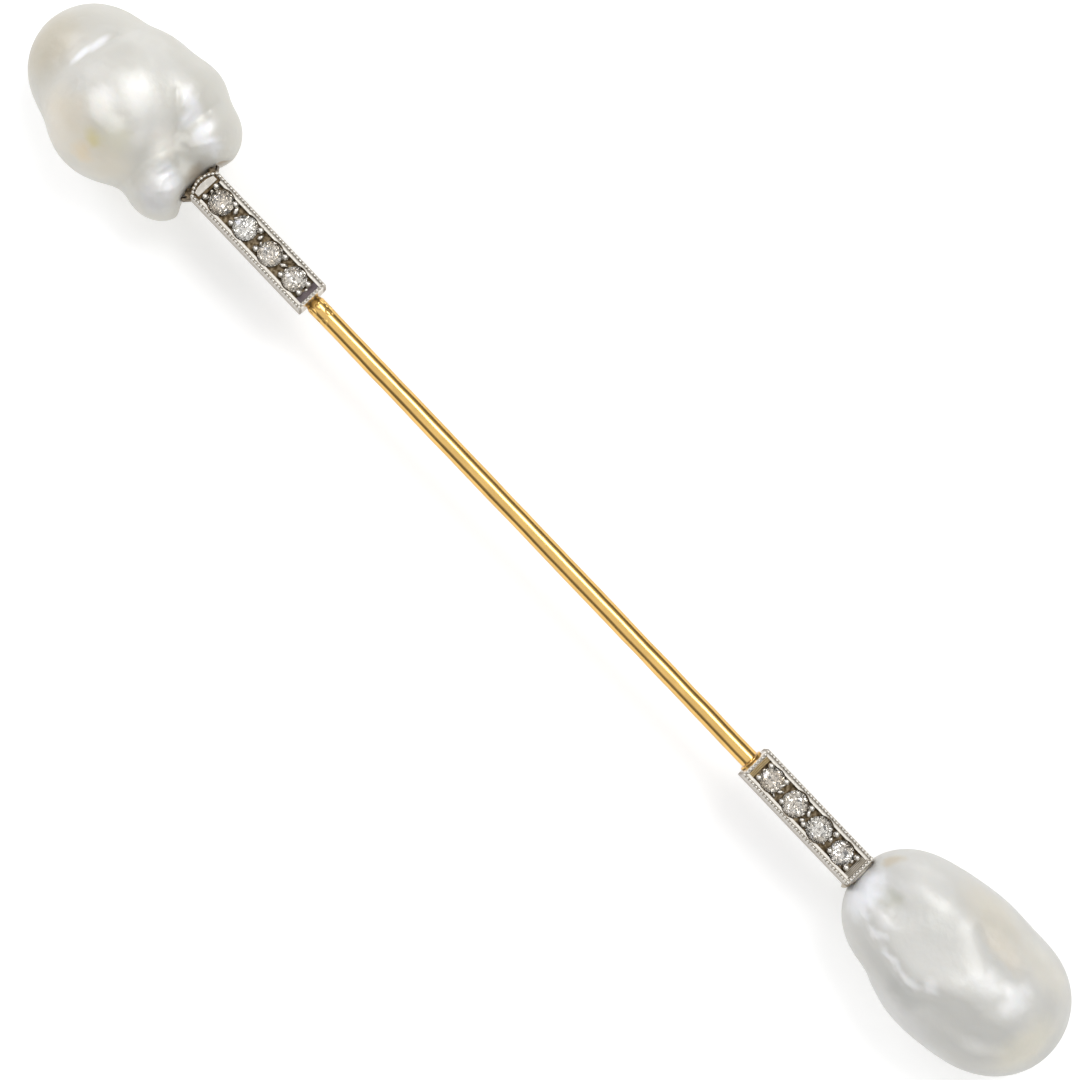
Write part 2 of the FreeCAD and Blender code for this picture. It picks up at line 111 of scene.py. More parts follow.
# A stroke works a pearl's upper skin along a line of points, as a wax tool does. Points, and the
# places of tints, are millimetres in the plane of the stem's axis, as the camera sees them.
Stroke = namedtuple("Stroke", "name points width height falloff")
STROKES_A = [
    Stroke("cap_ridge", ((-36.95, 2.1), (-37.2, 1.0), (-37.5, -0.5)), 0.60, 0.075, "SMOOTH"),
    Stroke("cap_crease", ((-36.42, 2.4), (-36.55, 1.9), (-36.75, 0.9), (-37.03, -0.3)),
           0.30, -0.055, "SMOOTH"),
    Stroke("cap_line", ((-35.75, 3.7), (-36.42, 2.4)), 0.22, -0.021, "SHARP"),
    Stroke("crown_low", ((-34.5, -1.1), (-34.2, -1.3)), 1.03, 0.091, "SMOOTH"),
    Stroke("crown_dip", ((-34.6, -0.1), (-33.4, -0.5), (-32.0, -0.8)), 0.60, -0.030, "SMOOTH"),
    Stroke("belly", ((-32.7, -1.1), (-31.7, -2.2)), 0.80, 0.046, "SMOOTH"),
    Stroke("olive_dimple", ((-33.3, -2.5), (-32.9, -2.7)), 0.92, -0.104, "SMOOTH"),
    Stroke("shoulder_edge", ((-32.0, 2.7), (-31.2, 1.9), (-30.5, 1.4)), 0.40, -0.060, "SHARP"),
    Stroke("shoulder_face", ((-31.0, 2.5), (-30.5, 2.0)), 1.03, 0.065, "SMOOTH"),
    Stroke("shoulder_wrinkle", ((-30.9, 3.4), (-30.5, 2.6), (-30.4, 1.5)), 0.22, 0.032, "SHARP"),
    Stroke("shoulder_wrinkle_2", ((-31.5, 2.9), (-31.1, 2.2)), 0.25, 0.027, "SHARP"),
    Stroke("knuckle_cleft", ((-29.9, 3.8), (-29.95, 3.0), (-30.0, 2.0), (-30.0, 1.2)),
           0.36, -0.055, "SHARP"),
    Stroke("knuckle_face", ((-29.2, 2.2), (-28.9, 1.4)), 1.03, 0.058, "SMOOTH"),
    Stroke("knuckle_crease", ((-29.75, 3.1), (-29.65, 1.9), (-29.9, 0.9)), 0.30, -0.050, "SHARP"),
    Stroke("knuckle_wrinkle", ((-28.2, 2.6), (-28.7, 1.8), (-29.2, 1.0)), 0.30, 0.050, "SHARP"),
    Stroke("knuckle_wrinkle_2", ((-27.6, 2.5), (-28.0, 2.1)), 0.25, 0.027, "SHARP"),
    Stroke("middle_hollow", ((-30.4, 0.2), (-29.0, 0.3), (-28.0, 0.4)), 0.80, -0.078, "SMOOTH"),
    Stroke("ball_cleft", ((-29.9, 0.3), (-30.25, -1.0), (-30.35, -2.0), (-30.4, -3.3)),
           0.50, -0.050, "SHARP"),
    Stroke("ball_fold", ((-29.9, -0.9), (-29.95, -2.4), (-29.5, -3.6)), 0.30, -0.036, "SHARP"),
    Stroke("ball_wrinkle", ((-29.3, -0.6), (-29.45, -1.4), (-29.3, -2.2)), 0.25, 0.040, "SHARP"),
    Stroke("ball_wrinkle_2", ((-28.8, -0.6), (-28.9, -1.4), (-28.6, -2.0)), 0.25, 0.040, "SHARP"),
    Stroke("ball_wrinkle_3", ((-28.1, -0.8), (-28.2, -1.5), (-28.6, -1.9)), 0.25, 0.032, "SHARP"),
    Stroke("ball_rib", ((-27.4, -1.9), (-27.8, -2.5)), 0.18, 0.018, "SHARP"),
    Stroke("left_scratch", ((-35.95, -1.1), (-35.85, -1.7)), 0.15, 0.018, "SHARP"),
]
STROKES_B = [
    Stroke("ridge", ((26.1, 0.2), (26.8, -0.8), (28.2, -1.4), (30.0, -1.75), (31.8, -1.95)),
           1.15, 0.143, "SMOOTH"),
    Stroke("ridge_curl", ((31.8, -1.9), (33.0, -1.4), (33.8, -0.7)), 1.15, 0.130, "SMOOTH"),
    Stroke("nose_hollow", ((26.9, 0.6), (27.8, 0.2), (28.6, 0.1)), 1.03, -0.130, "SMOOTH"),
    Stroke("nose_bright", ((27.8, -0.55), (29.2, -0.65)), 0.57, 0.046, "SMOOTH"),
    Stroke("low_valley", ((28.2, -2.1), (30.5, -2.5), (32.6, -2.9)), 1.03, -0.104, "SMOOTH"),
    Stroke("low_hollow", ((33.6, -2.0), (35.0, -1.7), (36.6, -1.5)), 1.49, -0.169, "SMOOTH"),
    Stroke("right_hollow", ((36.9, -1.6), (37.9, -0.9)), 1.03, -0.098, "SMOOTH"),
    Stroke("heart_left", ((34.2, 0.4), (35.2, 0.5)), 1.40, 0.090, "SMOOTH"),
    Stroke("heart_right", ((36.3, 1.3), (37.0, 0.4)), 1.20, 0.120, "SMOOTH"),
    Stroke("heart_notch", ((32.8, 2.7), (34.2, 2.25), (35.2, 2.5)), 0.85, -0.050, "SMOOTH"),
    Stroke("upper_crease", ((32.4, 2.85), (33.4, 2.45)), 0.45, -0.030, "SMOOTH"),
    Stroke("upper_shoulder", ((28.6, 2.2), (30.5, 2.7), (32.2, 3.0)), 1.60, 0.110, "SMOOTH"),
    Stroke("middle_plain", ((30.0, 1.2), (31.5, 0.6)), 1.72, -0.039, "SMOOTH"),
    Stroke("bottom_bulge", ((30.5, -3.6), (34.0, -3.9), (36.5, -3.4)), 0.80, 0.052, "SMOOTH"),
    Stroke("hairline", ((26.9, -2.85), (28.4, -3.15), (29.2, -3.25), (30.0, -3.65), (31.0, -3.95)),
           0.12, -0.024, "SHARP"),
]

# A tint is a soft patch of colour on a pearl's skin: some are the nacre's own cream and olive,
# others are painted highlights, painted floor light and painted shade, as marked below. Its
# strength is its share of the colour at the patch's middle.
Tint = namedtuple("Tint", "name x y width length colour strength")
TINTS_AND_PAINTED_LIGHT_A = [
    Tint("left_cream", -38.8, -0.7, 2.6, 3.6, "#CEC4AC", 0.60),
    Tint("low_cream", -35.2, -3.0, 3.2, 2.2, "#EEE4D0", 0.70),
    Tint("belly_cream", -32.0, -3.0, 2.6, 2.0, "#EDE5D3", 0.60),
    Tint("olive", -33.1, -2.5, 0.9, 0.7, "#E0D5A2", 0.75),
    Tint("olive_wash", -32.6, -1.6, 1.9, 1.2, "#E4E0C8", 0.45),
    Tint("orange", -33.2, -3.6, 0.9, 0.9, "#EFD9B0", 0.65),
    Tint("cap_light", -37.5, 1.2, 1.2, 2.0, "#E2E0DA", 0.25),
    # The next two are painted highlights: the crescent of light on the cap's ridge.
    Tint("crescent_highlight_high", -36.85, 1.35, 0.36, 1.05, "#FBFBFC", 0.95),
    Tint("crescent_highlight_low", -37.08, 0.25, 0.30, 1.10, "#FBFBFC", 0.90),
    # The next four are painted highlights: the broad satin light on the crown.
    Tint("crown", -33.4, 1.1, 1.9, 1.7, "#FAF9F5", 0.85),
    Tint("crown_highlight_left", -34.4, -0.5, 1.2, 1.0, "#FAF9F5", 0.75),
    Tint("crown_low", -34.25, -1.25, 1.5, 0.9, "#FAF8F1", 0.80),
    Tint("crown_highlight_spot", -33.0, -1.1, 0.9, 0.7, "#F6F5EE", 0.60),
    Tint("body_top", -33.8, 3.1, 3.6, 1.4, "#F0EFEA", 0.60),
    Tint("body_right", -31.7, 0.4, 1.4, 2.0, "#F0EFEB", 0.60),
    Tint("middle", -30.3, 0.2, 1.4, 1.3, "#FBF7EF", 0.95),
    # The next five are partly chalky white nacre and partly painted highlights on the shoulder,
    # knuckle and ball.
    Tint("shoulder_high", -31.1, 2.75, 1.1, 0.7, "#FAFAFB", 0.90),
    Tint("shoulder_low", -30.45, 2.2, 0.60, 1.2, "#FAFAFB", 0.95),
    Tint("knuckle_high", -29.35, 2.2, 0.60, 1.1, "#FAFAFB", 0.90),
    Tint("knuckle_low", -28.6, 1.9, 1.2, 0.8, "#F6F6F8", 0.80),
    Tint("ball_patch", -28.7, -1.1, 1.5, 1.1, "#FBFBFC", 0.90),
    # Painted light: the floor's bounce along the lower edge.
    Tint("floor_bounce_light", -34.6, -3.9, 4.0, 1.2, "#EFEADF", 0.50),
    # The next two are painted shade beside bar A's nose, brown from the metal reflected in it.
    Tint("nose_shade", -27.4, 1.6, 0.7, 0.7, "#B59A72", 0.70),
    Tint("seat_shade", -28.0, 0.3, 0.8, 1.0, "#A8977E", 0.60),
    Tint("cool_ball", -28.5, -2.4, 1.6, 1.2, "#E0E0E4", 0.50),
]
TINTS_AND_PAINTED_LIGHT_B = [
    Tint("top_cream", 32.6, 3.8, 3.6, 1.7, "#E2DBCA", 0.60),
    Tint("valley_cream", 34.4, 2.9, 2.2, 0.9, "#DCD3C2", 0.50),
    Tint("nose_cream", 26.4, 1.9, 0.9, 0.9, "#CCBFA6", 0.65),
    Tint("right_cream", 39.0, 0.0, 1.6, 3.2, "#F0ECDD", 0.75),
    Tint("top_right_cream", 36.8, 3.8, 3.0, 1.4, "#ECE8DC", 0.60),
    # Painted shade in the hollow beside bar B.
    Tint("hollow_shade", 27.9, 0.3, 1.1, 0.8, "#B9B9A9", 0.60),
    # The next two are painted shade on the slopes below the ridge.
    Tint("low_shade", 35.2, -2.2, 2.8, 1.1, "#D2D1CC", 0.35),
    Tint("low_shade_left", 32.0, -2.7, 1.8, 0.8, "#C6C6C2", 0.45),
    # Painted light from the cool side lamp on the nose beside bar B.
    Tint("cool_nose_light", 26.4, -0.6, 1.9, 2.2, "#FBFCFF", 0.95),
    # Painted highlight on the bright patch of the nose.
    Tint("nose_highlight", 28.6, -0.72, 1.0, 0.45, "#EEEEEF", 0.40),
    # The next five are painted highlights along the ridge.
    Tint("ridge_highlight_1", 27.3, -1.15, 0.9, 0.40, "#FAFAFA", 0.85),
    Tint("ridge_highlight_2", 28.7, -1.55, 1.1, 0.40, "#FAFAFA", 0.80),
    Tint("ridge_highlight_3", 30.3, -1.95, 1.3, 0.42, "#FAFAFA", 0.75),
    Tint("ridge_highlight_4", 31.9, -2.15, 1.1, 0.50, "#FAFAFA", 0.75),
    Tint("ridge_highlight_5", 33.1, -1.45, 0.9, 0.90, "#FAFAFA", 0.75),
    # The next two are painted highlights on the heart-shaped lobes.
    Tint("heart_left", 34.7, 0.9, 1.4, 1.1, "#F2F2F1", 0.60),
    Tint("heart_right", 36.7, 1.5, 1.1, 1.5, "#FAFAF9", 0.85),
    # Painted light: the floor's bounce along the lower edge.
    Tint("floor_bounce_light", 33.0, -3.9, 5.0, 0.9, "#EAEAEA", 0.40),
    Tint("upper_left", 28.6, 2.6, 2.4, 1.3, "#ECEBE7", 0.60),
    # Painted shade that dulls the middle.
    Tint("middle_shade", 30.8, 1.2, 2.6, 1.6, "#CBCBC6", 0.55),
]

# Small raised flakes and curls of metal between the stones, in the stem's frame, turned by degrees
FLAKE_HEIGHT = 1.31
FLAKE_DEPTH = 0.14
FLAKE_SPREAD = 0.7
FLAKE_LUMPS = (0.8, 1.15)
FLAKE_LEANS = (0.2, 0.3)
FLAKE_FOOT, FLAKE_BRIGHT = 1.14, 1.30
Flake = namedtuple("Flake", "x y length width turn")
FLAKES_A = [
    Flake(-26.36, 0.05, 0.26, 0.14, 90),
    Flake(-24.65, 0.28, 0.52, 0.20, 100),
    Flake(-24.35, 0.00, 0.34, 0.13, 55),
    Flake(-22.65, 0.24, 0.46, 0.17, 75),
    Flake(-22.41, 0.02, 0.30, 0.12, 115),
    Flake(-20.68, 0.10, 0.48, 0.18, 40),
    Flake(-20.41, -0.02, 0.30, 0.12, 100),
    Flake(-18.82, 0.06, 0.30, 0.14, 80),
]
FLAKES_B = [
    Flake(17.67, 0.05, 0.30, 0.13, 90),
    Flake(19.00, 0.18, 0.50, 0.16, 65),
    Flake(19.18, -0.12, 0.44, 0.15, 45),
    Flake(19.04, -0.52, 0.34, 0.12, 160),
    Flake(21.10, 0.20, 0.52, 0.20, 115),
    Flake(20.90, -0.08, 0.34, 0.15, 75),
    Flake(21.08, -0.34, 0.40, 0.17, 60),
    Flake(22.97, 0.06, 0.36, 0.22, 90),
    Flake(22.83, -0.36, 0.26, 0.12, 150),
    Flake(24.65, 0.08, 0.30, 0.16, 80),
]

# Plates that close the sunk field at a bar's ends, ruled with graver lines across the bar
PLATE_FOOT = 1.0
PLATE_RELIEF = 0.02
RULE_DRIFT = 0.12
RULE_DRIFT_SCALE = 1.2
Plate = namedtuple("Plate", "name start end half_width low_top high_top rules tone")
PLATES_A = [Plate("end_plate_a", -18.88, -18.50, 0.70, 1.24, 1.42, 4, "#7E7478")]
PLATES_B = [
    Plate("inner_plate_b", 17.22, 17.54, 0.70, 1.38, 1.28, 3, "#CDB486"),
    Plate("outer_plate_b", 24.86, 25.20, 0.76, 1.30, 1.46, 4, "#B4AC9E"),
]

# The sunk field inside bar A's nose, and the crescent on it. Their fronts bow out like the rim.
NosePlate = namedtuple("NosePlate", "name low high half_width bow top")
NOSE_FIELD = NosePlate("nose_field", -27.02, -26.44, BAR_HALF_WIDTH - RIM_WIDTH, 0.28, 1.502)
NOSE_CRESCENT = NosePlate("nose_crescent", -26.88, -26.60, 0.70, 0.14, 1.545)
NOSE_BOW_POWER = 2.6
NOSE_PLATE_THICKNESS = 0.04
CRESCENT_BEVEL = 0.012
CRESCENT_FOOT, CRESCENT_BRIGHT = 1.44, 1.60

# The rim's beads: how far each may stray
BEAD_SLANT = math.radians(18)
BEAD_TURN = 0.12
BEAD_LENGTHS, BEAD_WIDTHS, BEAD_DEPTHS = (0.94, 1.06), (0.78, 0.90), (0.85, 1.0)
BEAD_RISE = (0.010, 0.028)
BEAD_FOOT, BEAD_BRIGHT = BAR_TOP - 0.01, BAR_TOP + 0.07

# The stones: how far a corner strays along X, Y and Z, and the lean in degrees
STONE_STRAY = (0.03, 0.03, 0.015)
STONE_LEAN = 4

# The stem's profile, as places along the pin with a radius at each
STEM_PROFILE = (
    (STEM_FOOT, 0.0), (STEM_FOOT, 0.45), (-18.02, 0.55), (16.83, 0.55), (16.83, 0.36),
    (22.93, 0.36), (24.33, 0.02), (24.33, 0.0))
WIRE_SEGMENTS = 32
WIRE_SPACING = 0.3
WAVE_LENGTH = 2.4
WAVE_DEPTH = 0.05

# The solder at bar A's neck
SOLDER_COUNT = 14
SOLDER_REACH = 0.52
SOLDER_SPAN = (-18.1, -16.9)
SOLDER_ROUND = 1.3
SOLDER_LENGTHS, SOLDER_WIDTHS, SOLDER_DEPTH = (0.10, 0.30), (0.07, 0.14), 0.06

# Lights: lean from straight above in degrees, the way that they lean, and their size in metres
Lamp = namedtuple("Lamp", "name lean toward size tone")
SOFTBOX = Lamp("softbox", 26, (0, 1, 0), (0.25, 0.17), "#FFFFFF")
SIDE_LIGHT = Lamp("side_light", 60, (-1, 0, 0), (0.15, 0.30), "#F1F2FF")
LAMP_DISTANCE = 0.5
HORIZON_GLOW = 0.20
HORIZON_HEIGHTS = (0.45, 0.75)
BACKDROP_GLOW = 0.95
FLOOR_SIZE = 3.0


def linear(hex_colour):
    """An sRGB hex colour as linear red, green and blue."""
    parts = [int(hex_colour[i:i + 2], 16) / 255 for i in (1, 3, 5)]
    return tuple(p / 12.92 if p <= 0.04045 else ((p + 0.055) / 1.055) ** 2.4 for p in parts)


def with_alpha(colour):
    """A colour from the settings as the four numbers that a socket takes."""
    return (colour[0], colour[1], colour[2], 1.0)


def at(x, y, z):
    """A place in the stem's frame, in millimetres, as a point of the scene in metres."""
    return PIN_ZERO + Vector((x, y, z)) * MM


class PinStageSettings(bpy.types.PropertyGroup):
    """The camera, the floor and the studio light."""

    distance: bpy.props.FloatProperty(
        name="Camera distance", description="From the lens to the middle of the pin",
        default=0.155, min=0.05, unit="LENGTH", subtype="DISTANCE")
    frame_width: bpy.props.FloatProperty(
        name="Frame width", description="Width of the view at the pin's height",
        default=0.05994, min=0.01, unit="LENGTH", subtype="DISTANCE")
    tilt: bpy.props.FloatProperty(
        name="Camera tilt",
        description="Lean of the camera from straight above, away from the softbox",
        default=math.radians(5.5), subtype="ANGLE", unit="ROTATION")
    roll: bpy.props.FloatProperty(
        name="Camera roll", description="How far the pin runs down to the right in the frame",
        default=math.radians(46.34), subtype="ANGLE", unit="ROTATION")
    key_watts: bpy.props.FloatProperty(
        name="Softbox power", description="Power of the softbox past the pin's far side",
        default=0.66, min=0, unit="POWER")
    side_watts: bpy.props.FloatProperty(
        name="Side light power", description="Power of the cool light past the fixed end",
        default=0.40, min=0, unit="POWER")
    dome: bpy.props.FloatProperty(
        name="Dome brightness", description="Brightness of the studio above the pin",
        default=0.95, min=0)
    table_glow: bpy.props.FloatProperty(
        name="Table glow", description="Light that the lit table gives through the paper",
        default=0.39, min=0)
    floor_colour: bpy.props.FloatVectorProperty(
        name="Floor", description="Colour of the paper sweep", default=linear("#E8E8E7"),
        size=3, min=0, max=1, subtype="COLOR")


class PinPearlSettings(bpy.types.PropertyGroup):
    """The skin of both pearls."""

    grain: bpy.props.FloatProperty(
        name="Skin grain", description="Spacing of the points that the tools work on",
        default=0.10 * MM, min=0.05 * MM, unit="LENGTH", subtype="DISTANCE", precision=5)
    warm_nacre: bpy.props.FloatVectorProperty(
        name="Warm nacre", description="Ground colour of the pearl at the fixed end",
        default=linear("#DEDCD4"), size=3, min=0, max=1, subtype="COLOR")
    cool_nacre: bpy.props.FloatVectorProperty(
        name="Cool nacre", description="Ground colour of the pearl at the loose end",
        default=linear("#DAD9D4"), size=3, min=0, max=1, subtype="COLOR")


class PinMetalSettings(bpy.types.PropertyGroup):
    """The gold, the white metal and its milgrain."""

    gold: bpy.props.FloatVectorProperty(
        name="Gold", description="Colour of the polished yellow gold",
        default=linear("#EFC478"), size=3, min=0, max=1, subtype="COLOR")
    platinum: bpy.props.FloatVectorProperty(
        name="Platinum", description="Colour of the bright white metal",
        default=linear("#E4DFD6"), size=3, min=0, max=1, subtype="COLOR")
    tarnish: bpy.props.FloatVectorProperty(
        name="Tarnish", description="Colour of the dark film in the recesses",
        default=linear("#4C3F2C"), size=3, min=0, max=1, subtype="COLOR")
    milgrain_pitch: bpy.props.FloatProperty(
        name="Milgrain pitch", description="Distance between the beads of the rim",
        default=0.228 * MM, min=0.1 * MM, unit="LENGTH", subtype="DISTANCE", precision=5)
    milgrain_radius: bpy.props.FloatProperty(
        name="Milgrain radius", description="Radius of each bead of the rim",
        default=0.122 * MM, min=0.02 * MM, unit="LENGTH", subtype="DISTANCE", precision=5)


class PinStoneSettings(bpy.types.PropertyGroup):
    """The old-cut stones."""

    tone: bpy.props.FloatVectorProperty(
        name="Stone", description="Body colour of the stones", default=linear("#F7F4ED"),
        size=3, min=0, max=1, subtype="COLOR")


def select_only(*pieces):
    """Selects these objects and nothing else, the first as the active one."""
    bpy.ops.object.select_all(action="DESELECT")
    for piece in pieces:
        piece.select_set(True)
    bpy.context.view_layer.objects.active = pieces[0]


def apply_modifier(piece, kind, **settings):
    """Adds a modifier with its settings and applies it."""
    select_only(piece)
    modifier = piece.modifiers.new(kind.lower(), kind)
    for key, value in settings.items():
        setattr(modifier, key, value)
    bpy.ops.object.modifier_apply(modifier=modifier.name)


def coordinates(piece):
    """A piece's points as rows of x, y and z."""
    flat = np.empty(len(piece.data.vertices) * 3)
    piece.data.vertices.foreach_get("co", flat)
    return flat.reshape(-1, 3)


def facing(piece):
    """A piece's point normals as rows of x, y and z."""
    flat = np.empty(len(piece.data.vertices) * 3)
    piece.data.vertices.foreach_get("normal", flat)
    return flat.reshape(-1, 3)


def view_axes(stage):
    """The lens's place, and the directions along the pin, across it and into the view."""
    into = Vector((0, math.sin(stage.tilt), -math.cos(stage.tilt)))
    along = Vector((1, 0, 0))
    return PIN_ZERO - into * stage.distance, along, along.cross(into), into


def seen_places(points, stage):
    """Where the camera sees each point, in millimetres in the plane of the stem's axis."""
    lens, along, across, into = (np.array(v) for v in view_axes(stage))
    rays = points - lens
    scale = stage.distance / (rays @ into) / MM
    return np.stack([rays @ along * scale, rays @ across * scale], axis=1)


def line_distance(places, points):
    """Each place's distance from a line of points."""
    best = np.full(len(places), np.inf)
    for start, end in zip(points, points[1:]):
        start, end = np.array(start), np.array(end)
        run = end - start
        share = np.clip((places - start) @ run / (run @ run), 0, 1)
        best = np.minimum(best, np.linalg.norm(places - start - share[:, None] * run, axis=1))
    return best


def skin_copy(node_name, name, grain):
    """A CAD pearl as one smooth skin of even points."""
    piece = bpy.data.objects.new(name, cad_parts[node_name].data.copy())
    bpy.context.collection.objects.link(piece)
    piece.data.materials.clear()
    select_only(piece)
    bpy.ops.object.mode_set(mode="EDIT")
    bpy.ops.mesh.select_all(action="SELECT")
    bpy.ops.mesh.remove_doubles(threshold=0.001 * MM)
    bpy.ops.mesh.tris_convert_to_quads()
    bpy.ops.object.mode_set(mode="OBJECT")
    apply_modifier(piece, "SUBSURF", levels=2, render_levels=2)
    apply_modifier(piece, "REMESH", mode="VOXEL", voxel_size=grain)
    apply_modifier(piece, "SMOOTH", factor=0.5, iterations=10)
    return piece


def work_skin(piece, strokes, stage, grain):
    """Works each stroke into the side of the pearl that the camera sees."""
    up = np.array(-view_axes(stage)[3])
    for stroke in strokes:
        points = coordinates(piece)
        off = line_distance(seen_places(points, stage), stroke.points)
        chosen = (off < 0.7 * grain / MM) & (facing(piece) @ up > 0)
        if not chosen.any():
            raise RuntimeError("no skin under the stroke " + stroke.name)
        select_only(piece)
        for part in (piece.data.polygons, piece.data.edges):
            part.foreach_set("select", np.zeros(len(part), dtype=bool))
        piece.data.vertices.foreach_set("select", chosen)
        bpy.ops.object.mode_set(mode="EDIT")
        bpy.ops.mesh.select_mode(type="VERT")
        bpy.ops.transform.shrink_fatten(
            value=stroke.height * MM, use_proportional_edit=True,
            proportional_edit_falloff=stroke.falloff, proportional_size=stroke.width * MM)
        bpy.ops.object.mode_set(mode="OBJECT")


def skin_point(piece, x, y, stage):
    """The point of a pearl's skin that the camera sees at this place."""
    points = coordinates(piece)
    off = np.linalg.norm(seen_places(points, stage) - np.array((x, y)), axis=1)
    off[facing(piece) @ np.array(-view_axes(stage)[3]) < 0.02] = np.inf
    return Vector(points[int(np.argmin(off))])


def add_node(tree, kind, inputs=(), **settings):
    """Adds a node with its settings. inputs gives sockets by name or in order, and each takes a
    value, another node's output, or a node, which stands for its first output."""
    item = tree.nodes.new(kind)
    for key, value in settings.items():
        setattr(item, key, value)
    for key, value in inputs.items() if isinstance(inputs, dict) else enumerate(inputs):
        if isinstance(value, bpy.types.Node):
            value = value.outputs[0]
        if isinstance(value, bpy.types.NodeSocket):
            tree.links.new(value, item.inputs[key])
        else:
            item.inputs[key].default_value = value
    return item


def new_material(name):
    """An empty material, and add_node for its tree."""
    material = bpy.data.materials.new(name)
    material.use_nodes = True
    material.node_tree.nodes.clear()
    return material, partial(add_node, material.node_tree)


def nacre(name, ground, tints_and_light, piece, stage):
    """Nacre: layered aragonite, grown and not polished. The eye sees a soft, deep white with a
    satin light on it, cream clouds and fine growth wrinkles; many of its patches are painted
    highlights, painted floor light and painted shade."""
    material, node = new_material(name)
    place = node("ShaderNodeTexCoord").outputs["Object"]
    cloud = node("ShaderNodeTexNoise", {"Vector": place, "Scale": CLOUD_SCALE / MM, "Detail": 3.0})
    centred = node(
        "ShaderNodeVectorMath", (cloud.outputs["Color"], (0.5, 0.5, 0.5)), operation="SUBTRACT")
    drift = node("ShaderNodeVectorMath", {0: centred, "Scale": CLOUD_DRIFT * MM}, operation="SCALE")
    warped = node("ShaderNodeVectorMath", (place, drift), operation="ADD").outputs[0]
    colour = with_alpha(ground)
    # Each patch mixes in its colour: some are the nacre's own cream and olive, others are painted
    # highlights, painted floor light and painted shade.
    for tint in tints_and_light:
        centre = skin_point(piece, tint.x, tint.y, stage)
        reach = Vector((1 / tint.width, 1 / tint.length, 1 / max(tint.width, tint.length))) / MM
        patch = node("ShaderNodeMapping", {
            "Vector": warped if tint.width > WARPED_WIDTH else place,
            "Location": -centre * reach, "Scale": reach})
        spot = node("ShaderNodeTexGradient", (patch,), gradient_type="SPHERICAL")
        share = node(
            "ShaderNodeMapRange", (spot.outputs["Fac"], 0.0, 0.8, 0.0, tint.strength), **SMOOTH)
        colour = node(
            "ShaderNodeMix", {0: share, 6: colour, 7: with_alpha(linear(tint.colour))},
            data_type="RGBA").outputs[2]
    wrinkles = node("ShaderNodeTexNoise", {
        "Vector": place, "Scale": WRINKLE_SCALE / MM, "Detail": 4.0})
    ripple = node("ShaderNodeTexNoise", {
        "Vector": place, "Scale": RIPPLE_SCALE / MM, "Detail": 2.0})
    low_wrinkles = node("ShaderNodeMath", (wrinkles, WRINKLE_SHARE), operation="MULTIPLY")
    height = node("ShaderNodeMath", (ripple, low_wrinkles), operation="ADD")
    bump = node("ShaderNodeBump", {
        "Height": height, "Strength": 1.0, "Distance": NACRE_RELIEF * MM})
    satin = node("ShaderNodeMapRange", (ripple, 0.3, 0.7, 0.38, 0.50), **SMOOTH)
    shader = node("ShaderNodeBsdfPrincipled", {
        "Base Color": colour,
        "Metallic": 0.16,
        "Roughness": satin,
        "Subsurface Weight": 0.25,
        "Subsurface Radius": (1.0, 0.8, 0.6),
        "Subsurface Scale": 0.6 * MM,
        "Specular IOR Level": 0.35,
        "Specular Tint": (0.80, 0.80, 0.79, 1.0),
        "Normal": bump,
    })
    node("ShaderNodeOutputMaterial", {"Surface": shader})
    return material


def yellow_gold(name, metal):
    """Eighteen carat gold wire, drawn and then burnished by hand. The eye sees a mirror-bright
    warm yellow with faint lines along the wire and small dents."""
    material, node = new_material(name)
    place = node("ShaderNodeTexCoord").outputs["Object"]
    stretched = node("ShaderNodeMapping", {
        "Vector": place, "Scale": [share / MM for share in DRAWN_LINES]})
    lines = node("ShaderNodeTexNoise", {"Vector": stretched, "Scale": 1.6, "Detail": 3.0})
    dents = node("ShaderNodeTexNoise", {"Vector": place, "Scale": DENT_SCALE / MM, "Detail": 2.0})
    low_lines = node("ShaderNodeMath", (lines, LINE_SHARE), operation="MULTIPLY")
    height = node("ShaderNodeMath", (low_lines, dents), operation="ADD")
    bump = node("ShaderNodeBump", {
        "Height": height, "Strength": 0.35, "Distance": GOLD_RELIEF * MM})
    high_dents = node("ShaderNodeMapRange", (dents, 0.35, 0.65), **SMOOTH)
    deep = with_alpha([part * 0.9 for part in metal.gold])
    colour = node(
        "ShaderNodeMix", {0: high_dents, 6: deep, 7: with_alpha(metal.gold)},
        data_type="RGBA").outputs[2]
    shader = node("ShaderNodeBsdfPrincipled", {
        "Base Color": colour,
        "Metallic": 1.0,
        "Roughness": node("ShaderNodeMapRange", (lines, 0.3, 0.7, 0.10, 0.20), **SMOOTH),
        "Specular Tint": (0.80, 0.72, 0.62, 1.0),
        "Normal": bump,
    })
    node("ShaderNodeOutputMaterial", {"Surface": shader})
    return material


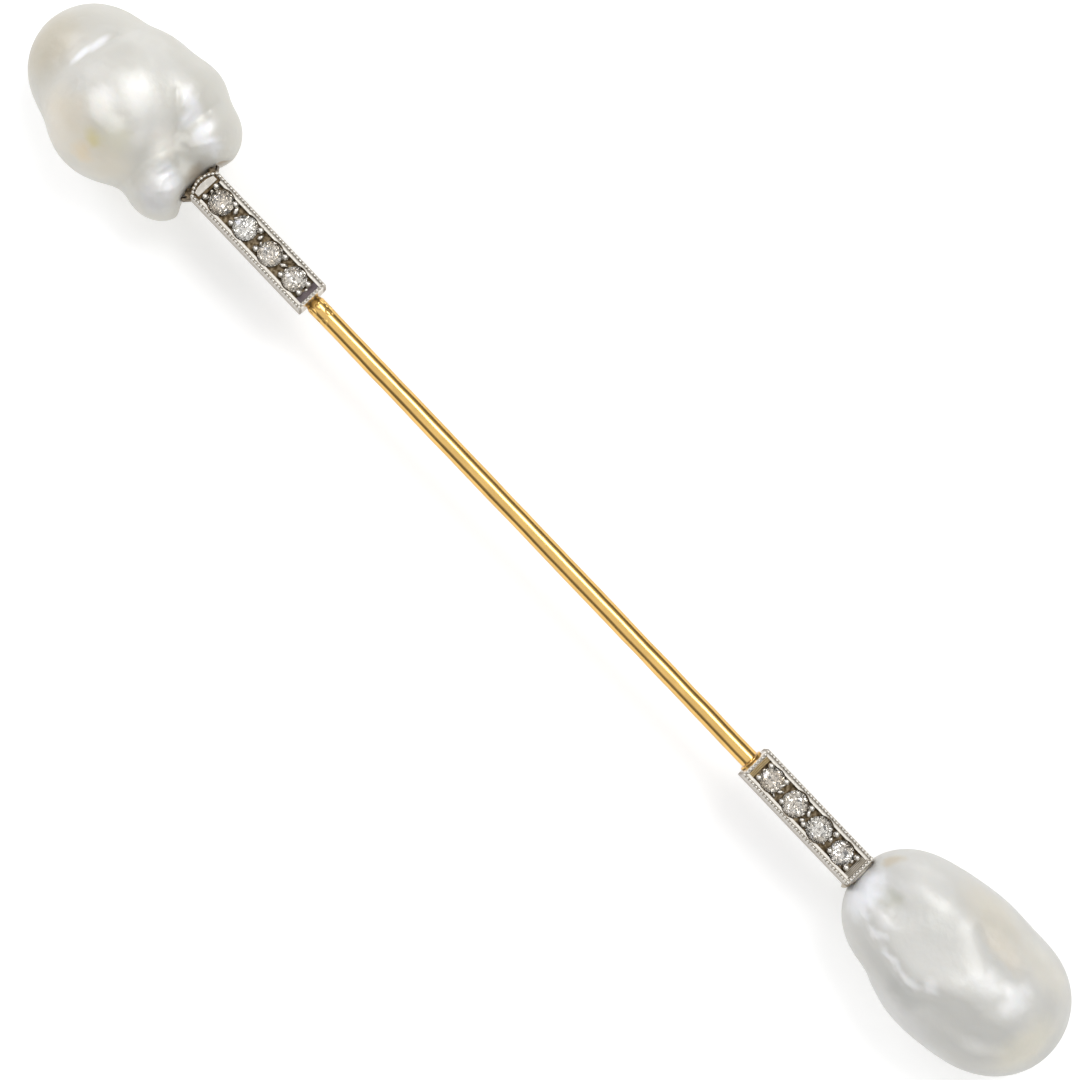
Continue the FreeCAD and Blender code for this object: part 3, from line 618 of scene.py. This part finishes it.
def bar_platinum(name, bar, metal):
    """Platinum over gold, cut with gravers. The eye sees a bright, slightly brushed top, a dark
    brown film in the sunk field and between the rim's beads, and pale warm sides."""
    material, node = new_material(name)
    place = node("ShaderNodeTexCoord").outputs["Object"]
    along, across, up = node("ShaderNodeSeparateXYZ", (place,)).outputs
    grime = node("ShaderNodeTexNoise", {"Vector": place, "Scale": GRIME_SCALE / MM, "Detail": 4.0})
    shift = node("ShaderNodeMath", (grime, 0.5), operation="SUBTRACT")
    shift = node("ShaderNodeMath", (shift, FILM_DRIFT * MM), operation="MULTIPLY")
    height = node("ShaderNodeMath", (up, shift), operation="ADD")
    off_axis = node("ShaderNodeMath", (across, PIN_ZERO.y), operation="SUBTRACT")
    off_axis = node("ShaderNodeMath", (off_axis,), operation="ABSOLUTE")
    bead_line = (BAR_HALF_WIDTH - RIM_WIDTH / 2) * MM
    off_beads = node("ShaderNodeMath", (off_axis, bead_line), operation="SUBTRACT")
    off_beads = node("ShaderNodeMath", (off_beads,), operation="ABSOLUTE")
    edge = FILM_EDGE * MM
    inner = (BAR_HALF_WIDTH - RIM_WIDTH) * MM
    first, last = at(bar.start, 0, 0).x, at(bar.end - RIM_WIDTH / 2, 0, 0).x
    ledge = [at(0, 0, LEDGE_TOP - depth).z for depth in FILM_BELOW_LEDGE]
    beads = [reach * MM for reach in FILM_OFF_BEADS]
    nose = [at(x, 0, 0).x for x in FILM_BEHIND_NOSE]
    wall = [at(0, 0, z).z for z in WALL_HEIGHTS]
    in_width, past_start, before_end, sunk, between, crevice, side, scrapes = [
        node("ShaderNodeMapRange", values, **SMOOTH) for values in (
            (off_axis, inner - edge, inner + edge, 1.0, 0.0),
            (along, first, first + edge),
            (along, last - edge, last, 1.0, 0.0),
            (height, *ledge, 1.0, 0.0),
            (off_beads, *beads, FILM_BETWEEN_BEADS, 0.0),
            (along, *nose, 1.0, 0.0),
            (up, *wall, 0.8, 0.0),
            (grime, 0.38, 0.68))]
    inside = node("ShaderNodeMath", (past_start, before_end), operation="MULTIPLY")
    inside = node("ShaderNodeMath", (in_width, inside), operation="MULTIPLY")
    film = node("ShaderNodeMath", (inside, sunk), operation="MULTIPLY")
    for other in (between, crevice):
        film = node("ShaderNodeMath", (film, other), operation="MAXIMUM")
    outside = node("ShaderNodeMath", (1.0, inside), operation="SUBTRACT")
    walls = node("ShaderNodeMath", (side, outside), operation="MULTIPLY")
    outer, film_tone = [
        node("ShaderNodeMix", {0: share, 6: with_alpha(low), 7: with_alpha(high)},
             data_type="RGBA").outputs[2]
        for share, low, high in (
            (walls, metal.platinum, linear(WALL_TONE)),
            (scrapes, metal.tarnish, linear(SCRAPE_TONE)))]
    colour = node(
        "ShaderNodeMix", {0: film, 6: outer, 7: film_tone}, data_type="RGBA").outputs[2]
    bump = node("ShaderNodeBump", {"Height": grime, "Strength": 0.5, "Distance": 0.02 * MM})
    shader = node("ShaderNodeBsdfPrincipled", {
        "Base Color": colour,
        "Metallic": 1.0,
        "Roughness": node("ShaderNodeMapRange", (film, 0.0, 1.0, 0.24, 0.45), **SMOOTH),
        "Normal": bump,
    })
    node("ShaderNodeOutputMaterial", {"Surface": shader})
    return material


def grain_platinum(name, foot, top, metal):
    """Rolled and raised platinum beads. The eye sees bright round tops with dark feet."""
    material, node = new_material(name)
    place = node("ShaderNodeTexCoord").outputs["Object"]
    up = node("ShaderNodeSeparateXYZ", (place,)).outputs["Z"]
    wear = node("ShaderNodeTexNoise", {"Vector": place, "Scale": 4.0 / MM, "Detail": 2.0})
    sunk = node("ShaderNodeMapRange", (up, at(0, 0, foot).z, at(0, 0, top).z, 0.9, 0.0), **SMOOTH)
    colour = node(
        "ShaderNodeMix", {0: sunk, 6: with_alpha(metal.platinum), 7: with_alpha(metal.tarnish)},
        data_type="RGBA").outputs[2]
    shader = node("ShaderNodeBsdfPrincipled", {
        "Base Color": colour,
        "Metallic": 1.0,
        "Roughness": node("ShaderNodeMapRange", (wear, 0.3, 0.7, 0.16, 0.30), **SMOOTH),
    })
    node("ShaderNodeOutputMaterial", {"Surface": shader})
    return material


def old_cut_stone(name, stone):
    """Old-cut diamond. The eye sees white and grey flashes from its facets."""
    material, node = new_material(name)
    place = node("ShaderNodeTexCoord").outputs["Object"]
    haze = node("ShaderNodeTexNoise", {"Vector": place, "Scale": 0.9 / MM, "Detail": 2.0})
    share = node("ShaderNodeMapRange", (haze, 0.42, 0.62), **SMOOTH)
    colour = node(
        "ShaderNodeMix",
        {0: share, 6: with_alpha(stone.tone), 7: with_alpha(linear(STONE_HAZE))},
        data_type="RGBA").outputs[2]
    shader = node("ShaderNodeBsdfPrincipled", {
        "Base Color": colour,
        "Roughness": 0.0,
        "IOR": 2.417,
        "Transmission Weight": 0.95,
    })
    node("ShaderNodeOutputMaterial", {"Surface": shader})
    return material


def wear_material(piece, material):
    """Gives a piece one material."""
    piece.data.materials.clear()
    piece.data.materials.append(material)


def repeat_model(model, name, places):
    """Copies a modelled piece to each place, as one joined piece. A place is a matrix."""
    copies = []
    for place in places:
        copy = bpy.data.objects.new(name, model.data.copy())
        bpy.context.collection.objects.link(copy)
        copy.data.transform(place)
        copies.append(copy)
    bpy.data.objects.remove(model)
    select_only(*copies)
    bpy.ops.object.join()
    return copies[0]


def rim_outline(bar):
    """The corners of the line that a bar's rim beads follow, in millimetres."""
    half = BAR_HALF_WIDTH - RIM_WIDTH / 2
    near, far = bar.start + RIM_WIDTH / 2, bar.end - RIM_WIDTH / 2
    corners = [Vector(point) for point in (
        (near, -half), (far, -half), (far, half), (near, half))]
    if bar.has_nose:
        shoulder = half - NOSE_SHOULDER
        front = near - NOSE_CHAMFER
        bow = NOSE_LENGTH - NOSE_CHAMFER
        for step in range(5):
            y = shoulder * (1 - step / 2)
            corners.append(Vector((front - bow * (1 - (y / shoulder) ** 2), y)))
    return corners + [corners[0]]


def even_places(corners, pitch):
    """Evenly spaced points along a closed line, each with the line's direction there."""
    lengths = [(b - a).length for a, b in zip(corners, corners[1:])]
    count = round(sum(lengths) / pitch)
    step = sum(lengths) / count
    places = []
    for index in range(count):
        gone = index * step
        for start, end, length in zip(corners, corners[1:], lengths):
            if gone <= length:
                places.append((start.lerp(end, gone / length), (end - start).to_2d().normalized()))
                break
            gone -= length
    return places


def milgrain(bar, name, metal):
    """The beaded edge of one bar: beads rolled with a wheel, a little uneven and slanting."""
    bpy.ops.object.select_all(action="DESELECT")
    bpy.ops.mesh.primitive_uv_sphere_add(segments=12, ring_count=8, radius=metal.milgrain_radius)
    model = bpy.context.object
    hand = random.Random(len(name) + int(abs(bar.start)))
    places = []
    for point, way in even_places(rim_outline(bar), metal.milgrain_pitch / MM):
        turn = math.atan2(way.y, way.x) + BEAD_SLANT + hand.uniform(-BEAD_TURN, BEAD_TURN)
        size = Vector([hand.uniform(*span) for span in (BEAD_LENGTHS, BEAD_WIDTHS, BEAD_DEPTHS)])
        centre = at(point.x, point.y, BAR_TOP + hand.uniform(*BEAD_RISE))
        places.append(Matrix.LocRotScale(centre, Euler((0, 0, turn)), size))
    piece = repeat_model(model, name, places)
    bpy.ops.object.shade_smooth()
    wear_material(piece, grain_platinum(name + "_metal", BEAD_FOOT, BEAD_BRIGHT, metal))
    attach(piece, bar.body)


def raised_flakes(bar, name, flakes, metal):
    """The flakes and curls that the graver raised between the stones of one bar."""
    bpy.ops.object.select_all(action="DESELECT")
    bpy.ops.mesh.primitive_ico_sphere_add(subdivisions=2, radius=1.0)
    model = bpy.context.object
    hand = random.Random(int(abs(bar.end)))
    for corner in model.data.vertices:
        corner.co *= hand.uniform(*FLAKE_LUMPS)
    places = []
    for flake in flakes:
        size = Vector((flake.length / 2, flake.width * FLAKE_SPREAD, FLAKE_DEPTH)) * MM
        leans = [hand.uniform(-reach, reach) for reach in FLAKE_LEANS]
        turn = Euler((*leans, math.radians(flake.turn)))
        places.append(Matrix.LocRotScale(at(flake.x, flake.y, FLAKE_HEIGHT), turn, size))
    piece = repeat_model(model, name, places)
    bpy.ops.object.shade_smooth()
    wear_material(piece, grain_platinum(name + "_metal", FLAKE_FOOT, FLAKE_BRIGHT, metal))
    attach(piece, bar.body)


def graved_metal(plate, metal):
    """White metal ruled by hand with a graver. The eye sees pale ridges with brown between."""
    material, node = new_material(plate.name + "_metal")
    place = node("ShaderNodeTexCoord").outputs["Object"]
    along = node("ShaderNodeSeparateXYZ", (place,)).outputs["X"]
    bend = node("ShaderNodeTexNoise", {
        "Vector": place, "Scale": RULE_DRIFT_SCALE / MM, "Detail": 2.0})
    drift = node("ShaderNodeMath", (bend, RULE_DRIFT * MM), operation="MULTIPLY")
    turns = 2 * math.pi * plate.rules / ((plate.end - plate.start) * MM)
    run = node("ShaderNodeMath", (along, drift), operation="ADD")
    run = node("ShaderNodeMath", (run, turns), operation="MULTIPLY")
    wave = node("ShaderNodeMath", (run,), operation="SINE")
    bump = node("ShaderNodeBump", {"Height": wave, "Strength": 0.6, "Distance": PLATE_RELIEF * MM})
    ridge = node("ShaderNodeMapRange", (wave, -0.9, 0.5, 0.35, 1.0), **SMOOTH)
    colour = node(
        "ShaderNodeMix",
        {0: ridge, 6: with_alpha(metal.tarnish), 7: with_alpha(linear(plate.tone))},
        data_type="RGBA").outputs[2]
    shader = node("ShaderNodeBsdfPrincipled", {
        "Base Color": colour,
        "Metallic": 1.0,
        "Roughness": 0.35,
        "Normal": bump,
    })
    node("ShaderNodeOutputMaterial", {"Surface": shader})
    return material


def ruled_plate(plate, body, metal):
    """A small sloping plate with graver lines cut across the bar."""
    bpy.ops.object.select_all(action="DESELECT")
    bpy.ops.mesh.primitive_cube_add(size=1.0)
    piece = bpy.context.object
    piece.name = plate.name
    for corner in piece.data.vertices:
        share = corner.co.x + 0.5
        top = plate.low_top + (plate.high_top - plate.low_top) * share
        height = top if corner.co.z > 0 else PLATE_FOOT
        x = plate.start + (plate.end - plate.start) * share
        corner.co = at(x, corner.co.y * 2 * plate.half_width, height)
    wear_material(piece, graved_metal(plate, metal))
    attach(piece, body)


def nose_plate(plate, material):
    """A thin plate inside bar A's nose, with a bowed front."""
    bpy.ops.object.select_all(action="DESELECT")
    bpy.ops.mesh.primitive_grid_add(x_subdivisions=2, y_subdivisions=12, size=2.0)
    piece = bpy.context.object
    piece.name = plate.name
    for corner in piece.data.vertices:
        across = corner.co.y
        share = (corner.co.x + 1) / 2
        near = plate.low - plate.bow * (1 - abs(across) ** NOSE_BOW_POWER)
        corner.co = at(near + (plate.high - near) * share, across * plate.half_width, plate.top)
    apply_modifier(piece, "SOLIDIFY", thickness=NOSE_PLATE_THICKNESS * MM, offset=-1.0)
    wear_material(piece, material)
    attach(piece, BAR_A.body)
    return piece


def bar_film(name, metal):
    """Oxidised metal in a sunk field. The eye sees dull dark brown with lighter scrapes."""
    material, node = new_material(name)
    place = node("ShaderNodeTexCoord").outputs["Object"]
    grime = node("ShaderNodeTexNoise", {"Vector": place, "Scale": GRIME_SCALE / MM, "Detail": 4.0})
    scrapes = node("ShaderNodeMapRange", (grime, 0.4, 0.65), **SMOOTH)
    colour = node(
        "ShaderNodeMix",
        {0: scrapes, 6: with_alpha(metal.tarnish), 7: with_alpha(linear(NOSE_SCRAPE_TONE))},
        data_type="RGBA").outputs[2]
    shader = node("ShaderNodeBsdfPrincipled", {
        "Base Color": colour,
        "Metallic": 1.0,
        "Roughness": 0.5,
    })
    node("ShaderNodeOutputMaterial", {"Surface": shader})
    return material


def hand_cut_stone(node_name, material, hand):
    """One old stone: the solid's facets a little uneven, and turned as the setter left it."""
    piece = bpy.data.objects.new("cut_" + node_name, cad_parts[node_name].data.copy())
    bpy.context.collection.objects.link(piece)
    select_only(piece)
    bpy.ops.object.mode_set(mode="EDIT")
    bpy.ops.mesh.select_all(action="SELECT")
    bpy.ops.mesh.remove_doubles(threshold=0.001 * MM)
    bpy.ops.object.mode_set(mode="OBJECT")
    low, high = (Vector(corner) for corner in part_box(node_name))
    centre = (low + high) / 2
    turn = Matrix.Rotation(hand.uniform(0, math.tau), 4, "Z")
    lean = Matrix.Rotation(math.radians(hand.uniform(-STONE_LEAN, STONE_LEAN)), 4, "X")
    piece.data.transform(Matrix.Translation(centre) @ lean @ turn @ Matrix.Translation(-centre))
    stray = Vector(STONE_STRAY) * MM
    for corner in piece.data.vertices:
        corner.co += Vector([reach * hand.uniform(-1, 1) for reach in stray])
    wear_material(piece, material)
    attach(piece, "pin" if "_a" in node_name else "terminal")
    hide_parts(node_name)


def turned_wire(name, stations, segments, spacing):
    """A wire turned about the pin's axis: its profile goes from station to station. A station is
    a place along the pin and a radius there, in millimetres."""
    bpy.ops.object.select_all(action="DESELECT")
    bpy.ops.mesh.primitive_plane_add(size=0.1 * MM, location=at(stations[0][0], 0, 0))
    piece = bpy.context.object
    piece.name = name
    select_only(piece)
    bpy.ops.object.transform_apply(location=True, rotation=True, scale=True)
    bpy.ops.object.mode_set(mode="EDIT")
    bpy.ops.mesh.select_mode(type="VERT")
    bpy.ops.mesh.select_all(action="SELECT")
    bpy.ops.mesh.merge(type="CENTER")
    for (x, radius), (next_x, next_radius) in zip(stations, stations[1:]):
        steps = max(1, round(abs(next_x - x) / spacing))
        move = (at(next_x, 0, next_radius) - at(x, 0, radius)) / steps
        for _ in range(steps):
            bpy.ops.mesh.extrude_vertices_move(TRANSFORM_OT_translate={"value": move})
    bpy.ops.mesh.select_all(action="SELECT")
    bpy.ops.mesh.spin(
        steps=segments, angle=math.tau, center=at(0, 0, 0), axis=(1, 0, 0), use_auto_merge=True)
    bpy.ops.mesh.select_all(action="SELECT")
    bpy.ops.mesh.remove_doubles(threshold=0.002 * MM)
    bpy.ops.mesh.normals_make_consistent(inside=False)
    bpy.ops.object.mode_set(mode="OBJECT")
    return piece


def stem_wire(material):
    """The stem with its pointed tip, a little wavy from the drawing and the hammer."""
    piece = turned_wire("stem_wire", STEM_PROFILE, WIRE_SEGMENTS, WIRE_SPACING)
    waves = bpy.data.textures.new("drawn_waves", "CLOUDS")
    waves.noise_scale = WAVE_LENGTH * MM
    apply_modifier(
        piece, "DISPLACE", texture=waves, texture_coords="LOCAL", strength=WAVE_DEPTH * MM,
        mid_level=0.5)
    select_only(piece)
    bpy.ops.object.shade_smooth_by_angle(angle=math.radians(40))
    wear_material(piece, material)
    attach(piece, "pin")
    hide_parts("pin_stem")


def solder_lumps(material):
    """The solder that ran out along the stem where it meets bar A."""
    bpy.ops.object.select_all(action="DESELECT")
    bpy.ops.mesh.primitive_ico_sphere_add(subdivisions=3, radius=1.0)
    model = bpy.context.object
    hand = random.Random(5)
    places = []
    for _ in range(SOLDER_COUNT):
        angle = hand.uniform(-SOLDER_ROUND, SOLDER_ROUND)
        across, up = SOLDER_REACH * math.sin(angle), SOLDER_REACH * math.cos(angle)
        centre = at(hand.uniform(*SOLDER_SPAN), across, up)
        size = Vector((
            hand.uniform(*SOLDER_LENGTHS), hand.uniform(*SOLDER_WIDTHS), SOLDER_DEPTH)) * MM
        places.append(Matrix.LocRotScale(centre, Euler((-angle, 0, 0)), size))
    piece = repeat_model(model, "solder_lumps", places)
    bpy.ops.object.shade_smooth()
    wear_material(piece, material)
    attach(piece, "pin")


def dress_pearl(name, node_name, body, strokes, tints_and_light, ground, context):
    """One pearl: its skin from the solid, the strokes worked into it, and its nacre."""
    stage, pearl = context.scene.pin_stage, context.scene.pin_pearls
    piece = skin_copy(node_name, name, pearl.grain)
    work_skin(piece, strokes, stage, pearl.grain)
    apply_modifier(piece, "SMOOTH", factor=0.4, iterations=2)
    select_only(piece)
    bpy.ops.object.shade_smooth()
    wear_material(piece, nacre(name + "_nacre", ground, tints_and_light, piece, stage))
    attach(piece, body)
    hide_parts(node_name)


class PinPearlsOperator(bpy.types.Operator):
    """Model and finish both baroque pearls"""

    bl_idname = "jabot_pin.pearls"
    bl_label = "Pearls"

    def execute(self, context):
        pearls = context.scene.pin_pearls
        for end, body, strokes, tints_and_light, ground in (
                ("a", "pin", STROKES_A, TINTS_AND_PAINTED_LIGHT_A, pearls.warm_nacre),
                ("b", "terminal", STROKES_B, TINTS_AND_PAINTED_LIGHT_B, pearls.cool_nacre)):
            node_name = "pearl_" + end
            dress_pearl("baroque_" + node_name, node_name, body, strokes, tints_and_light, ground, context)
        return {"FINISHED"}


class PinBarsOperator(bpy.types.Operator):
    """Finish both bars, with milgrain and raised flakes"""

    bl_idname = "jabot_pin.bars"
    bl_label = "Bars"

    def execute(self, context):
        metal = context.scene.pin_metals
        ends = ((BAR_A, "a", FLAKES_A, PLATES_A), (BAR_B, "b", FLAKES_B, PLATES_B))
        for bar, end, flakes, plates in ends:
            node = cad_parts["bar_" + end]
            wear_material(node, bar_platinum("bar_platinum_" + end, bar, metal))
            milgrain(bar, "milgrain_" + end, metal)
            raised_flakes(bar, "flakes_" + end, flakes, metal)
            for plate in plates:
                ruled_plate(plate, bar.body, metal)
        nose_plate(NOSE_FIELD, bar_film("nose_film", metal))
        crescent_metal = grain_platinum("crescent_metal", CRESCENT_FOOT, CRESCENT_BRIGHT, metal)
        crescent = nose_plate(NOSE_CRESCENT, crescent_metal)
        apply_modifier(
            crescent, "BEVEL", width=CRESCENT_BEVEL * MM, segments=2, limit_method="ANGLE")
        return {"FINISHED"}


class PinStonesOperator(bpy.types.Operator):
    """Finish the old-cut stones"""

    bl_idname = "jabot_pin.stones"
    bl_label = "Stones"

    def execute(self, context):
        material = old_cut_stone("old_cut_diamond", context.scene.pin_stones)
        hand = random.Random(11)
        for name in sorted(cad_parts):
            if name.startswith("diamond_"):
                hand_cut_stone(name, material, hand)
        return {"FINISHED"}


class PinStemOperator(bpy.types.Operator):
    """Model the gold stem and finish the tube"""

    bl_idname = "jabot_pin.stem"
    bl_label = "Stem"

    def execute(self, context):
        material = yellow_gold("burnished_gold", context.scene.pin_metals)
        wear_material(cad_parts["terminal_tube"], material)
        stem_wire(material)
        solder_lumps(material)
        return {"FINISHED"}


class PinStageOperator(bpy.types.Operator):
    """Set the floor, the studio light and the camera"""

    bl_idname = "jabot_pin.stage"
    bl_label = "Stage"

    def execute(self, context):
        stage = context.scene.pin_stage
        lay_floor(stage)
        hang_light(SOFTBOX, stage.key_watts)
        hang_light(SIDE_LIGHT, stage.side_watts)
        light_dome(stage)
        set_camera(stage)
        context.scene.view_settings.view_transform = "Standard"
        return {"FINISHED"}


def lay_floor(stage):
    """A broad sheet of pale paper."""
    bpy.ops.object.select_all(action="DESELECT")
    bpy.ops.mesh.primitive_plane_add(size=FLOOR_SIZE)
    floor = bpy.context.object
    floor.name = "paper_sweep"
    material, node = new_material("matt_paper")
    shader = node("ShaderNodeBsdfPrincipled", {
        "Base Color": with_alpha(stage.floor_colour),
        "Roughness": 0.9,
        "Specular IOR Level": 0.1,
        "Emission Color": (1, 1, 1, 1),
        "Emission Strength": stage.table_glow,
    })
    node("ShaderNodeOutputMaterial", {"Surface": shader})
    wear_material(floor, material)


def hang_light(lamp, watts):
    """A rectangular light half a metre from the pin."""
    data = bpy.data.lights.new(lamp.name, "AREA")
    data.shape = "RECTANGLE"
    data.size, data.size_y = lamp.size
    data.energy = watts
    data.color = linear(lamp.tone)
    light = bpy.data.objects.new(lamp.name, data)
    bpy.context.collection.objects.link(light)
    lean = math.radians(lamp.lean)
    way = Vector((0, 0, 1)) * math.cos(lean) + Vector(lamp.toward) * math.sin(lean)
    way.normalize()
    light.location = PIN_ZERO + way * LAMP_DISTANCE
    light.rotation_euler = way.to_track_quat("Z", "Y").to_euler()


def light_dome(stage):
    """The studio around the pin: pale above, darker to the horizon, and plain pale in the frame."""
    world = bpy.data.worlds.new("studio")
    bpy.context.scene.world = world
    world.use_nodes = True
    world.node_tree.nodes.clear()
    node = partial(add_node, world.node_tree)
    way = node("ShaderNodeTexCoord").outputs["Generated"]
    height = node("ShaderNodeSeparateXYZ", (way,)).outputs["Z"]
    glow = node(
        "ShaderNodeMapRange", (height, *HORIZON_HEIGHTS, HORIZON_GLOW, stage.dome), **SMOOTH)
    dome, pale = [
        node("ShaderNodeBackground", {"Color": (1, 1, 1, 1), "Strength": strength})
        for strength in (glow, BACKDROP_GLOW)]
    camera_ray = node("ShaderNodeLightPath").outputs["Is Camera Ray"]
    mix = node("ShaderNodeMixShader", (camera_ray, dome, pale))
    node("ShaderNodeOutputWorld", {"Surface": mix})


def set_camera(stage):
    """The camera above the pin, leaning to -Y, and turned so that the pin runs down and right."""
    lens, along, across, into = view_axes(stage)
    right = along * math.cos(stage.roll) + across * math.sin(stage.roll)
    up = across * math.cos(stage.roll) - along * math.sin(stage.roll)
    data = bpy.data.cameras.new("camera")
    data.sensor_width = 36.0
    data.lens = data.sensor_width * stage.distance / stage.frame_width
    data.clip_start = 0.01
    data.clip_end = 10.0
    camera = bpy.data.objects.new("camera", data)
    bpy.context.collection.objects.link(camera)
    turn = Matrix((right, up, -into)).transposed().to_4x4()
    camera.matrix_world = Matrix.Translation(lens) @ turn
    bpy.context.scene.camera = camera


class PinPanel(bpy.types.Panel):
    """The sidebar panel of the jabot pin"""

    bl_idname = "VIEW3D_PT_jabot_pin"
    bl_label = "Jabot pin"
    bl_space_type = "VIEW_3D"
    bl_region_type = "UI"
    bl_category = "Jabot pin"

    def draw(self, context):
        for operator in OPERATORS:
            self.layout.operator(operator.bl_idname)
        for name in SETTINGS:
            group = getattr(context.scene, name)
            for prop in group.bl_rna.properties:
                if not prop.is_readonly and prop.identifier != "name":
                    self.layout.prop(group, prop.identifier)


SETTINGS = {
    "pin_stage": PinStageSettings,
    "pin_pearls": PinPearlSettings,
    "pin_metals": PinMetalSettings,
    "pin_stones": PinStoneSettings,
}
OPERATORS = (
    PinPearlsOperator, PinBarsOperator, PinStonesOperator, PinStemOperator, PinStageOperator)


def register():
    """Registers the classes and hangs the settings on the scene."""
    for name, group in SETTINGS.items():
        bpy.utils.register_class(group)
        setattr(bpy.types.Scene, name, bpy.props.PointerProperty(type=group))
    for cls in OPERATORS + (PinPanel,):
        bpy.utils.register_class(cls)


def unregister():
    """Takes everything away again."""
    for cls in reversed(OPERATORS + (PinPanel,)):
        bpy.utils.unregister_class(cls)
    for name, group in SETTINGS.items():
        delattr(bpy.types.Scene, name)
        bpy.utils.unregister_class(group)


def main():
    """Dresses the pin."""
    register()
    bpy.ops.jabot_pin.stage()
    bpy.ops.jabot_pin.pearls()
    bpy.ops.jabot_pin.bars()
    bpy.ops.jabot_pin.stones()
    bpy.ops.jabot_pin.stem()


if __name__ == "__main__":
    main()
